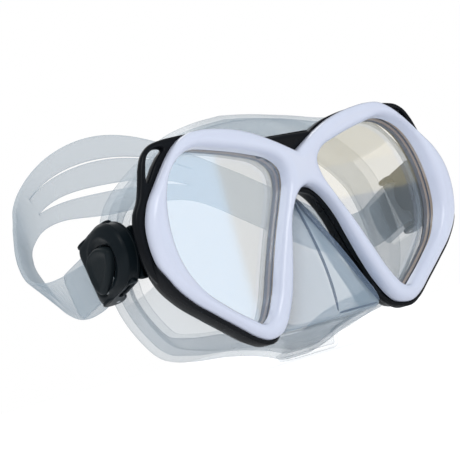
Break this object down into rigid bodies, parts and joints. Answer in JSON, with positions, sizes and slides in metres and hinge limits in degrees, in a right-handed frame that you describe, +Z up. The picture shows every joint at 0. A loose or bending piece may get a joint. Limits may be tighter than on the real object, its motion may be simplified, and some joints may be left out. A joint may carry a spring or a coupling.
{
  "type": "diving mask",
  "caption": "Two-lens diving mask: white front trim on a black frame, clear silicone skirt with nose pocket, split strap in swivelling side buckles.",
  "frame": {"origin": "bottom centre of the whole object's box, on the surface that it stands on", "axes": "+X across the face to the right as seen from the front, -Y out of the front of the lenses, +Z up"},
  "size_m": [0.1784, 0.148, 0.1246],
  "materials": {
    "white_trim": "glossy white with a slight lavender tint",
    "black_frame": "satin to gloss black",
    "clear_silicone": "clear silicone, smooth, faintly hazy",
    "strap_silicone": "clear silicone, smooth pad and ribbed tails",
    "lens_glass": "flat tempered glass with a faint mirror coat",
    "gasket_rubber": "matt black rubber",
    "buckle_plastic": "satin charcoal",
    "button_plastic": "fine matt charcoal",
    "steel": "plain stainless"
  },
  "bodies": {
    "mask": {"main_frame": "black_frame", "front_trim": "white_trim", "skirt": "clear_silicone", "lens_right": "lens_glass", "lens_left": "lens_glass", "lens_gasket_right": "gasket_rubber", "lens_gasket_left": "gasket_rubber", "buckle_arm_right": "buckle_plastic", "buckle_arm_left": "buckle_plastic", "pivot_rivet_right": "steel", "pivot_rivet_left": "steel"},
    "left_buckle": {"buckle_body_left": "buckle_plastic", "roller_axle_left": "steel", "strap": "strap_silicone"},
    "right_buckle": {"buckle_body_right": "buckle_plastic", "roller_axle_right": "steel"},
    "left_roller": {"strap_roller_left": "buckle_plastic"},
    "right_roller": {"strap_roller_right": "buckle_plastic"},
    "left_button": {"release_button_left": "button_plastic", "button_spring_left": "steel"},
    "right_button": {"release_button_right": "button_plastic", "button_spring_right": "steel"}
  },
  "joints": [
    {"name": "left_swivel", "type": "hinge", "parent": "mask", "child": "left_buckle", "pos_m": [-0.081, -0.04, 0.056], "axis": [1, 0, 0], "range_deg": [-25, 60]},
    {"name": "right_swivel", "type": "hinge", "parent": "mask", "child": "right_buckle", "pos_m": [0.081, -0.04, 0.056], "axis": [1, 0, 0], "range_deg": [-25, 60]},
    {"name": "left_roller_spin", "type": "hinge", "parent": "left_buckle", "child": "left_roller", "pos_m": [-0.0795, -0.02789, 0.05253], "axis": [0, 0.2756, 0.9613], "continuous": true},
    {"name": "right_roller_spin", "type": "hinge", "parent": "right_buckle", "child": "right_roller", "pos_m": [0.0795, -0.02789, 0.05253], "axis": [0, 0.2756, 0.9613], "continuous": true},
    {"name": "left_button_press", "type": "slide", "parent": "left_buckle", "child": "left_button", "axis": [1, 0, 0], "range_m": [0, 0.0012], "stiffness_N_per_m": 900, "springref_m": -0.001},
    {"name": "right_button_press", "type": "slide", "parent": "right_buckle", "child": "right_button", "axis": [-1, 0, 0], "range_m": [0, 0.0012], "stiffness_N_per_m": 900, "springref_m": -0.001}
  ],
  "couplings": [
    {"joint": "right_swivel", "follows": "left_swivel", "ratio": 1}
  ]
}
